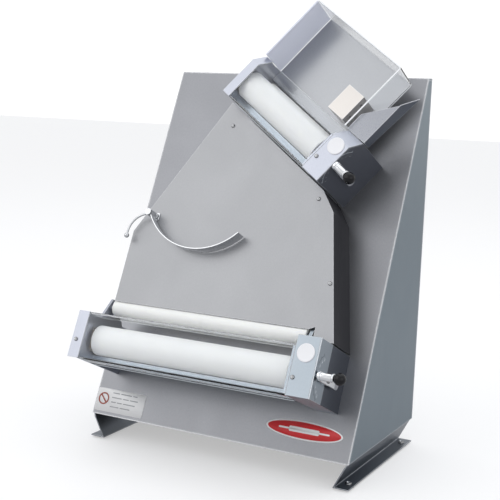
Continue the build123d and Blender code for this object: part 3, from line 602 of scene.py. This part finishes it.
# ------------------------------------------------------------------ rocker arm
# A strip bent to a shallow bow turns on a stud and swings when the dough meets it. A bent wire with a
# ball on its end balances it.
arm_steel = ground_metal(
    "arm_steel", (0.58, 0.59, 0.61), (0.74, 0.75, 0.77), 0.20, lines=(300, 300, 300)
)
worked("rocker_arm", arm_steel, 0.0003)
worked("rocker_stud", arm_steel, 0.0004)
worked("rocker_tail", arm_steel, 0.0003)

# ------------------------------------------------------------------ rollers
# White food-grade plastic sleeves on ground steel shafts, turned smooth, with a small round at each end.
# A unit has u along its rollers, v up the casing's face and w straight out, from its right end.
def unit_place(unit):
    """Frame of a roller unit, on the casing's face at the foot of the unit's right end."""
    lever_rise = 0.03769
    along = Vector(joints[f"{unit}_rear_spin"]["axis"])
    pivot = Vector(joints[f"{unit}_lever_turn"]["pos_m"])
    on_face = pivot - outward * outward.dot(pivot - casing_foot)
    return directions(along, on_face - outward.cross(along) * lever_rise)


units = {unit: unit_place(unit) for unit in ("lower", "upper")}


def room(node, place):
    """Lowest and highest corner of a node along the axes of place."""
    turned_back = place.inverted()
    points = [turned_back @ vertex.co for vertex in frame["nodes"][node].data.vertices]
    low = Vector([min(point[i] for point in points) for i in range(3)])
    return low, Vector([max(point[i] for point in points) for i in range(3)])


roller_white = bpy.data.materials.new("roller_white")
roller_white.use_nodes = True
white_tree = roller_white.node_tree
white_surface = white_tree.nodes["Principled BSDF"]
white_surface.inputs["Subsurface Weight"].default_value = 0.08
white_surface.inputs["Subsurface Radius"].default_value = (0.004, 0.004, 0.003)
white_from = white_tree.nodes.new("ShaderNodeTexCoord")
white_patch = white_tree.nodes.new("ShaderNodeTexNoise")
white_patch.inputs["Scale"].default_value = 26.0
white_patch.inputs["Detail"].default_value = 6.0
white_fine = white_tree.nodes.new("ShaderNodeTexNoise")
white_fine.inputs["Scale"].default_value = 700.0
white_tree.links.new(white_from.outputs["Object"], white_patch.inputs["Vector"])
white_tree.links.new(white_from.outputs["Object"], white_fine.inputs["Vector"])
white_tree.links.new(
    blended(white_tree, white_patch.outputs["Fac"], (0.91, 0.915, 0.905), (0.97, 0.975, 0.965)),
    white_surface.inputs["Base Color"],
)
white_tree.links.new(
    ranged(white_tree, white_patch.outputs["Fac"], 0.30, 0.48),
    white_surface.inputs["Roughness"],
)
grooved(white_tree, white_surface, white_fine.outputs["Fac"], 0.00003, 0.4)


def roller(node, unit, bore, round_off, body):
    """Sleeve with a bore, its edges rounded, in the place of its plain solid."""
    low, high = room(node, units[unit])
    radius = (high.y - low.y) / 2
    length = high.x - low.x
    turns = [step * math.pi / 8 for step in range(5)]
    corner = [
        (round_off * (1 - math.cos(turn)), radius - round_off * (1 - math.sin(turn))) for turn in turns
    ]
    far = [(length - along, reach) for along, reach in reversed(corner)]
    outline = [(0, bore)] + corner + far + [(length, bore)]
    centre = (low.x, (low.y + high.y) / 2, (low.z + high.z) / 2)
    piece = in_scene(f"{node}_sleeve", turned(outline, seat(units[unit], centre, 0), 96), roller_white)
    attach(piece, body)
    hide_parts(node)


sleeve_bore, sleeve_round = 0.008, 0.002
guide_bore, guide_round = 0.00405, 0.0015
for unit in units:
    for end in ("front", "rear"):
        roller(f"{unit}_{end}_roller", unit, sleeve_bore, sleeve_round, f"{unit}_{end}_roller")
roller("guide_roller", "lower", guide_bore, guide_round, "guide_roller")

bright_steel = ground_metal(
    "bright_steel", (0.72, 0.73, 0.75), (0.84, 0.85, 0.87), 0.14, lines=(500, 500, 500)
)
for unit in units:
    for end in ("front", "rear"):
        worked(f"{unit}_{end}_shaft", bright_steel, 0.0006)
worked("guide_roller_pin", bright_steel, 0.0005)
worked("rear_bearings", bright_steel, 0.0005)

# ------------------------------------------------------------------ blocks, gears and belt drive
# Bronze blocks carry the front roller in each end plate. Steel gears turn the two rollers against each
# other, and a toothed belt comes through the casing from a gearmotor held by two straps.
block_bronze = ground_metal(
    "block_bronze", (0.20, 0.165, 0.12), (0.32, 0.27, 0.20), 0.34, lines=(400, 400, 400)
)
gear_steel = ground_metal(
    "gear_steel", (0.16, 0.16, 0.165), (0.27, 0.27, 0.28), 0.30, lines=(400, 400, 400)
)
alloy = ground_metal(
    "pulley_alloy", (0.55, 0.55, 0.57), (0.70, 0.70, 0.72), 0.26, lines=(400, 400, 400)
)
belt_rubber = moulded("belt_rubber", (0.03, 0.03, 0.03), 0.6, 0.85)
motor_enamel = painted("motor_enamel", (0.05, 0.06, 0.075), 0.40)
for unit in units:
    worked(f"{unit}_gap_blocks", block_bronze, 0.0004)
    worked(f"{unit}_front_gear", gear_steel, 0.0003)
    worked(f"{unit}_rear_gear", gear_steel, 0.0003)
    worked(f"{unit}_roller_pulley", alloy, 0.0002)
    worked(f"{unit}_motor_pulley", alloy, 0.0002)
worked("drive_belts", belt_rubber, 0.0003)
worked("motors", motor_enamel, 0.0004)
worked("motor_brackets", screw_steel, 0.0004)

# ------------------------------------------------------------------ end plates and end covers
# The end plates are laser-cut steel. A folded cover of light satin stainless closes the gears in at the
# right, with a round white plug in its front. The cover's faces that look to the right are coloured dark:
# a painted dark reflection.
satin = ground_metal(
    "satin_plate", (0.33, 0.375, 0.42), (0.44, 0.49, 0.54), 0.36, turn=(slope, 0, 0)
)
# A lighter copy of the same satin for the upper unit's cover and right plate and for both left plates:
# painted light.
lit_upper_satin = ground_metal(
    "lit_upper_satin_plate", (0.42, 0.44, 0.50), (0.54, 0.56, 0.63), 0.36, turn=(slope, 0, 0)
)
unit_satin = {"lower": satin, "upper": lit_upper_satin}
worked("scrapers", satin, 0.0002)
# Dark finish for faces that look to the right: a painted dark reflection on the end faces.
dark_reflection_finish = ground_metal(
    "dark_reflection_plate", (0.085, 0.095, 0.12), (0.13, 0.145, 0.175), 0.34, turn=(slope, 0, 0)
)
for unit, place in units.items():
    end_way = place.to_3x3() @ Vector((1, 0, 0))
    worked(
        f"{unit}_end_cover",
        unit_satin[unit],
        0.0009,
        dark_reflection_finish,
        lambda face, way=end_way: face.normal.dot(way) > 0.7,
    )
    worked(f"{unit}_left_plate", lit_upper_satin, 0.0005)
    worked(f"{unit}_right_plate", unit_satin[unit], 0.0005)

plug_white = moulded("plug_white", (0.90, 0.90, 0.93), 0.25, 0.40, grit=0.00002, fleck=0.95)
plugs = []
for low, high in lumps("cover_plugs", casing):
    radius = (high.y - low.y) / 2
    height = high.z - low.z
    middle = (low + high) / 2
    outline = [
        (0, 0), (0, radius), (height * 0.5, radius), (height * 0.85, radius - 0.0004),
        (height, radius - 0.0012), (height * 0.9, radius - 0.0022), (height * 0.72, radius * 0.5),
        (height * 0.66, 0),
    ]
    plugs.append(turned(outline, seat(casing, (middle.x, middle.y, low.z), 2), 48))
plug = in_scene("white_plugs", joined(plugs), plug_white)
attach(plug, "frame")
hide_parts("cover_plugs")

# ------------------------------------------------------------------ dial plates
# Plates on the right end faces, satin below and dark above: the upper plate is coloured with a painted
# dark reflection. Each is printed with two arcs and a row of nine short marks.
# Dark colour for the upper dial plate: a painted dark reflection.
dial_dark_reflection = painted("dial_dark_reflection", (0.04, 0.045, 0.06), 0.34, rub_and_sheen=(0.25, 0.26, 0.28))
dial_split = (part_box("lower_guard")[1].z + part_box("upper_guard")[0].z) / 2
worked(
    "dial_plates", satin, 0.0002, dial_dark_reflection, lambda face: face.calc_center_median().z > dial_split
)
print_light = moulded("print_light", (0.62, 0.66, 0.72), 0.5, 0.6, grit=0.00001, fleck=0.8)
print_dark = moulded("print_dark", (0.06, 0.065, 0.085), 0.5, 0.6, grit=0.00001, fleck=0.8)
dial_prints = {"lower": print_dark, "upper": print_light}


def arc_band(inner, outer, start, stop, thickness, steps):
    """Flat ring segment about the local X axis, between two angles in degrees from the local Y."""
    shape = bmesh.new()
    first = math.radians(start)
    verts = [
        shape.verts.new((0, radius * math.cos(first), radius * math.sin(first)))
        for radius in (inner, outer)
    ]
    edge = shape.edges.new(verts)
    bmesh.ops.spin(
        shape,
        geom=verts + [edge],
        axis=(1, 0, 0),
        cent=(0, 0, 0),
        angle=math.radians(stop - start),
        steps=steps,
    )
    bmesh.ops.solidify(shape, geom=shape.faces, thickness=thickness)
    bmesh.ops.recalc_face_normals(shape, faces=shape.faces)
    return shape


print_stand, ink = 0.0016, 0.0001
arc_inner, arc_outer = 0.0378, 0.0384
mark_inner, mark_outer = 0.0392, 0.0412
first_mark, mark_pitch, half_mark = 30.0, 15.0, 0.5
for unit, place in units.items():
    pivot = place.inverted() @ Vector(joints[f"{unit}_lever_turn"]["pos_m"])
    prints = []
    for start, stop in ((28.0, 66.0), (114.0, 152.0)):
        prints.append(arc_band(arc_inner, arc_outer, start, stop, ink, 24))
    for number in range(9):
        angle = first_mark + mark_pitch * number
        prints.append(arc_band(mark_inner, mark_outer, angle - half_mark, angle + half_mark, ink, 1))
    marks = joined(prints)
    spot = place @ Matrix.Translation((print_stand, pivot.y, pivot.z))
    bmesh.ops.transform(marks, matrix=spot, verts=marks.verts)
    printed = in_scene(f"{unit}_dial_print", marks, dial_prints[unit])
    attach(printed, "frame")

# ------------------------------------------------------------------ gap levers
# Each lever is a flat steel bar on a hub. A polished sleeve stands at its front end and guides a spring
# plunger with a black ball knob, and a button screw holds the bar to the hub.
polished = ground_metal(
    "polished_steel", (0.80, 0.81, 0.83), (0.88, 0.89, 0.91), 0.10, lines=(300, 300, 300)
)
ball_black = moulded("ball_black", (0.006, 0.006, 0.008), 0.05, 0.10, grit=0.000002)
ball_black.node_tree.nodes["Principled BSDF"].inputs["Specular IOR Level"].default_value = 0.3
knob_gap = 0.0003
pin_radius, pin_tip, pin_in_knob = 0.0025, 0.0008, 0.003
sleeve_stand = 0.021
cap_radius, cap_height = 0.0046, 0.0024
collar_inner, collar_outer, collar_width = 0.0061, 0.0067, 0.0022
for unit, place in units.items():
    worked(f"{unit}_gap_lever", polished, 0.0005)
    pivot = place.inverted() @ Vector(joints[f"{unit}_lever_turn"]["pos_m"])
    knob_low, knob_high = room(f"{unit}_plunger_knob", place)
    ball = (knob_high.y - knob_low.y) / 2
    lever_high = room(f"{unit}_gap_lever", place)[1]
    knob_middle = (knob_low + knob_high) / 2
    knob_centre = Vector((knob_high.x - ball, knob_middle.y, knob_middle.z))
    flat_cut = lever_high.x + knob_gap
    cut = flat_cut - knob_centre.x
    start = math.acos(max(-1.0, cut / ball))
    turns = [start * (1 - step / 20) for step in range(21)]
    outline = [(cut, 0)] + [(ball * math.cos(turn), ball * math.sin(turn)) for turn in turns]
    knob = in_scene(
        f"{unit}_ball_knob", turned(outline, seat(place, knob_centre, 0), 64), ball_black
    )
    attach(knob, f"{unit}_plunger")
    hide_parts(f"{unit}_plunger_knob")
    pin_length = flat_cut - knob_low.x + pin_in_knob
    outline = [
        (0, 0), (0, pin_radius - pin_tip), (pin_tip, pin_radius),
        (pin_length, pin_radius), (pin_length, 0),
    ]
    pin_seat = seat(place, (knob_low.x, knob_centre.y, knob_centre.z), 0)
    pin = in_scene(f"{unit}_plunger_pin", turned(outline, pin_seat, 24), bright_steel)
    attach(pin, f"{unit}_plunger")
    bar_face = lever_high.x - sleeve_stand
    cap = in_scene(
        f"{unit}_lever_screw",
        screw_head(seat(place, (bar_face, pivot.y, pivot.z), 0), cap_radius, cap_height),
        screw_steel,
    )
    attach(cap, f"{unit}_gap_lever")
    collar = []
    for near in (0.0004, 0.0182):
        far = near + collar_width
        outline = [(near, collar_inner), (near, collar_outer), (far, collar_outer), (far, collar_inner)]
        sleeve_seat = seat(place, (bar_face, knob_centre.y, knob_centre.z), 0)
        collar.append(turned(outline, sleeve_seat, 40))
    rings = in_scene(f"{unit}_sleeve_rings", joined(collar), polished)
    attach(rings, f"{unit}_gap_lever")

# ------------------------------------------------------------------ clear guards
# One sheet of clear polycarbonate is bent round the front of each pair of rollers. Its cut edges are
# polished; they are coloured opaque near-white, a painted highlight for the light they catch.
clear = bpy.data.materials.new("clear_polycarbonate")
clear.use_nodes = True
clear_tree = clear.node_tree
clear_surface = clear_tree.nodes["Principled BSDF"]
clear_surface.inputs["Base Color"].default_value = (0.975, 0.985, 0.995, 1)
clear_surface.inputs["Transmission Weight"].default_value = 1.0
clear_surface.inputs["IOR"].default_value = 1.28
clear_from = clear_tree.nodes.new("ShaderNodeTexCoord")
clear_smear = clear_tree.nodes.new("ShaderNodeTexNoise")
clear_smear.inputs["Scale"].default_value = 18.0
clear_smear.inputs["Detail"].default_value = 5.0
clear_smear.inputs["Distortion"].default_value = 1.2
clear_tree.links.new(clear_from.outputs["Object"], clear_smear.inputs["Vector"])
clear_tree.links.new(
    ranged(clear_tree, clear_smear.outputs["Fac"], 0.0, 0.06),
    clear_surface.inputs["Roughness"],
)
clear_light = clear_tree.nodes.new("ShaderNodeLightPath")
clear_tree.links.new(
    ranged(clear_tree, clear_light.outputs["Is Shadow Ray"], 1.0, 0.06),
    clear_surface.inputs["Alpha"],
)
# Opaque near-white rims: a painted highlight on the cut edges of the clear sheets.
cut_edge_highlight = moulded("clear_cut_edge_highlight", (0.93, 0.95, 0.98), 0.15, 0.30, fleck=0.95)


def bent_sheet(name, points, bend, length, thickness, place, outside, reflection_finish=None, takes_reflection=None):
    """Clear sheet run along the place's X, with its outer face on the points in Y and Z.

    The widest face looks to the outside; chosen faces take the finish with a painted reflection.
    """
    shape = bmesh.new()
    line = [shape.verts.new((0, across, out)) for across, out in points]
    edges = [shape.edges.new(pair) for pair in zip(line, line[1:])]
    swept = bmesh.ops.extrude_edge_only(shape, edges=edges)
    moved = [item for item in swept["geom"] if isinstance(item, bmesh.types.BMVert)]
    bmesh.ops.translate(shape, verts=moved, vec=(length, 0, 0))
    shape.normal_update()
    folds = [edge for edge in shape.edges if len(edge.link_faces) == 2]
    bmesh.ops.bevel(
        shape,
        geom=folds,
        offset=bend,
        offset_type="OFFSET",
        affect="EDGES",
        segments=6,
        profile=0.5,
        material=-1,
    )
    widest = max(shape.faces, key=lambda face: face.calc_area())
    widest.normal_update()
    if widest.normal.dot(Vector(outside)) < 0:
        bmesh.ops.reverse_faces(shape, faces=shape.faces)
    if reflection_finish:
        for face in shape.faces:
            face.material_index = 2 * int(takes_reflection(face))
    bmesh.ops.transform(shape, matrix=place, verts=shape.verts)
    piece = in_scene(name, shape, clear, cut_edge_highlight, *([reflection_finish] if reflection_finish else []))
    wall = piece.modifiers.new("sheet", "SOLIDIFY")
    wall.thickness = thickness
    wall.offset = -1
    wall.use_even_offset = True
    wall.material_offset_rim = 1
    return rounded(piece, 0.0004, 1)


guard_sheet, guard_bend = 0.0025, 0.004
lower_lip = 0.0337
upper_top, upper_chamfer = 0.0934, 0.021
upper_end, upper_drop = 0.0909, 0.0203
for unit, place in units.items():
    low, high = room(f"{unit}_guard", place)
    points = [(low.y, low.z), (low.y, high.z)]
    if unit == "lower":
        points += [(high.y, high.z), (high.y, high.z - lower_lip)]
    else:
        points += [(upper_top - upper_chamfer, high.z), (upper_end, high.z - upper_drop)]
    guard = bent_sheet(
        f"{unit}_clear_guard",
        points,
        guard_bend,
        high.x - low.x,
        guard_sheet,
        place @ Matrix.Translation((low.x, 0, 0)),
        (0, 0, 1),
    )
    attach(guard, "frame")
    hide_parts(f"{unit}_guard")

# ------------------------------------------------------------------ dough tray
# A stainless back plate carries a clear wall bent round three sides; its left side is coloured pale and
# nearly opaque, a painted reflection of the light it catches at a grazing angle. A folded channel stands
# at its right, and a folded steel block keeps the dough off the right wall.
tray_steel = ground_metal(
    "tray_stainless", (0.34, 0.35, 0.37), (0.43, 0.44, 0.46), 0.34, turn=(slope, math.radians(35), 0)
)
channel_steel = ground_metal(
    "channel_stainless", (0.24, 0.25, 0.28), (0.34, 0.35, 0.38), 0.32, turn=(slope, 0, 0)
)
block_steel = ground_metal(
    "block_stainless", (0.58, 0.55, 0.53), (0.68, 0.65, 0.62), 0.36, lines=(800, 800, 800)
)
worked("tray_back", tray_steel, 0.0004)
tray_way = units["upper"].to_3x3() @ Vector((1, 0, 0))
# The channel's faces that look to the right take the dark finish: a painted dark reflection.
worked("side_channel", channel_steel, 0.0004, dark_reflection_finish, lambda face: face.normal.dot(tray_way) > 0.7)
worked("dough_block", block_steel, 0.0009)
# Pale, nearly opaque finish for the tray's left wall: a painted reflection.
wall_painted_reflection = moulded("polycarbonate_painted_reflection", (0.84, 0.87, 0.99), 0.22, 0.38, grit=0.000008, fleck=0.96)
wall_painted_reflection.node_tree.nodes["Principled BSDF"].inputs["Alpha"].default_value = 0.78
tray_low, tray_high = room("tray_walls", units["upper"])
tray_bend, tray_sheet = 0.005, 0.003
tray_middle = -(tray_low.x + tray_high.x) / 2
tray = bent_sheet(
    "clear_tray_walls",
    [
        (tray_low.y, -tray_low.x),
        (tray_high.y, -tray_low.x),
        (tray_high.y, -tray_high.x),
        (tray_low.y, -tray_high.x),
    ],
    tray_bend,
    tray_high.z - tray_low.z,
    tray_sheet,
    seat(units["upper"], (0, 0, tray_low.z), 2),
    (0, 1, 0),
    wall_painted_reflection,
    lambda face: abs(face.normal.z) > 0.9 and face.calc_center_median().z > tray_middle,
)
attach(tray, "frame")
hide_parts("tray_walls")

# ------------------------------------------------------------------ labels
# Two printed film labels are stuck to the front sheet: a white one with a plain ring sign and rows of
# dashes at the lower left, and a red oval badge with a white rolling pin at the lower right.
film_white = moulded("label_white", (0.90, 0.90, 0.91), 0.35, 0.5, grit=0.00001, fleck=0.97)
film_red = moulded("label_red", (0.66, 0.03, 0.035), 0.30, 0.45, grit=0.00001, fleck=0.9)
film_rust = moulded("label_rust", (0.36, 0.07, 0.04), 0.35, 0.5, grit=0.00001, fleck=0.9)
film_grey = moulded("label_grey", (0.42, 0.43, 0.45), 0.35, 0.5, grit=0.00001, fleck=0.9)


def film(shape, along, up, stand, thickness=0.00012):
    """Gives a flat outline in X and Y its thickness, and lays it on the front sheet."""
    bmesh.ops.solidify(shape, geom=shape.faces, thickness=thickness)
    bmesh.ops.recalc_face_normals(shape, faces=shape.faces)
    bmesh.ops.transform(
        shape, matrix=casing @ Matrix.Translation((along, up, stand)), verts=shape.verts
    )
    return shape


def oval(width, height, steps=64):
    """Flat oval about the origin."""
    shape = bmesh.new()
    bmesh.ops.create_circle(shape, cap_ends=True, segments=steps, radius=0.5)
    bmesh.ops.scale(shape, vec=(width, height, 1), verts=shape.verts)
    return shape


def panel_of(width, height, corner):
    """Flat rectangle about the origin with rounded corners."""
    shape = bmesh.new()
    bmesh.ops.create_grid(shape, x_segments=1, y_segments=1, size=0.5)
    bmesh.ops.scale(shape, vec=(width, height, 1), verts=shape.verts)
    bmesh.ops.bevel(
        shape,
        geom=shape.verts[:],
        offset=corner,
        offset_type="OFFSET",
        affect="VERTICES",
        segments=5,
        profile=0.5,
        material=-1,
    )
    return shape


def stuck(name, shapes, finish):
    """One piece from several films in one finish, riding on the casing."""
    piece = in_scene(name, joined(shapes), finish)
    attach(piece, "frame")


# Places on the front sheet, along and up it, and the height of each layer of film above it.
notice, sign, badge = (-0.1895, 0.026), (-0.224, 0.028), (0.156, 0.039)
under, over, topmost = 0.00025, 0.0004, 0.00055
stuck("notice_label", [film(panel_of(0.097, 0.040, 0.003), *notice, under)], film_white)
sign_ring = bmesh.new()
for radius in (0.0105, 0.0082):
    bmesh.ops.create_circle(sign_ring, cap_ends=False, segments=48, radius=radius)
bmesh.ops.bridge_loops(sign_ring, edges=sign_ring.edges[:])
slash = panel_of(0.0185, 0.0024, 0.0006)
bmesh.ops.rotate(slash, matrix=Matrix.Rotation(math.radians(-45), 3, "Z"), verts=slash.verts)
stuck("notice_sign", [film(sign_ring, *sign, over), film(slash, *sign, over)], film_rust)
first_dash, dash_gap, dash_height, dash_round = -0.208, 0.0025, 0.0016, 0.0004
top_row, row_drop = 0.040, 0.008
dashes = []
for row, millimetres in enumerate(((14, 22, 9), (20, 12, 16), (10, 10, 24), (18, 20))):
    along = first_dash
    for length in (count / 1000 for count in millimetres):
        dash = panel_of(length, dash_height, dash_round)
        dashes.append(film(dash, along + length / 2, top_row - row_drop * row, over))
        along += length + dash_gap
stuck("notice_dashes", dashes, film_grey)
stuck("oval_badge", [film(oval(0.133, 0.030), *badge, under)], film_white)
stuck("oval_badge_field", [film(oval(0.127, 0.0255), *badge, over)], film_red)
pin_barrel, pin_handles = panel_of(0.052, 0.0085, 0.002), panel_of(0.088, 0.0028, 0.0012)
stuck(
    "oval_badge_pin",
    [film(pin_barrel, *badge, topmost), film(pin_handles, *badge, topmost)],
    film_white,
)
